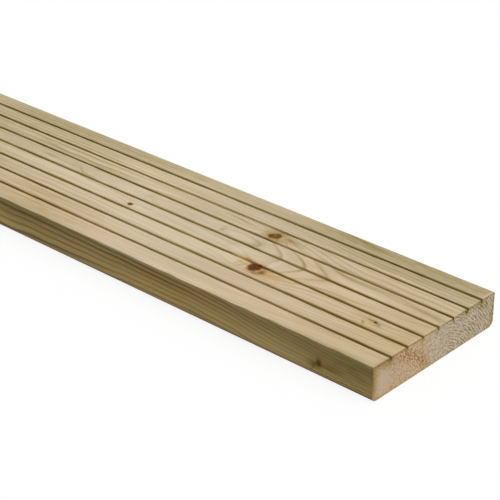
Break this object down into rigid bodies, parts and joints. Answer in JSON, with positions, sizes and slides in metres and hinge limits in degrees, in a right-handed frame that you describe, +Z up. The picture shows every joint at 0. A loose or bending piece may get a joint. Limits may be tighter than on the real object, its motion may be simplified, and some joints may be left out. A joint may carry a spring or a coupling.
{
  "type": "decking board",
  "caption": "Length of planed, preservative-treated softwood decking with parallel drainage grooves along its walking face, a plain underside and eased long edges.",
  "frame": {"origin": "middle of the underside, halfway along the board and across it", "axes": "+X along the board's length and grain, +Y across its width, +Z up out of the grooved walking face"},
  "size_m": [1.8, 0.12, 0.024],
  "materials": {
    "treated_softwood": "planed, treated, with knots and fine straight grain, sawn square at both ends"
  },
  "bodies": {
    "root": {"decking_board": "treated_softwood"}
  },
  "joints": []
}
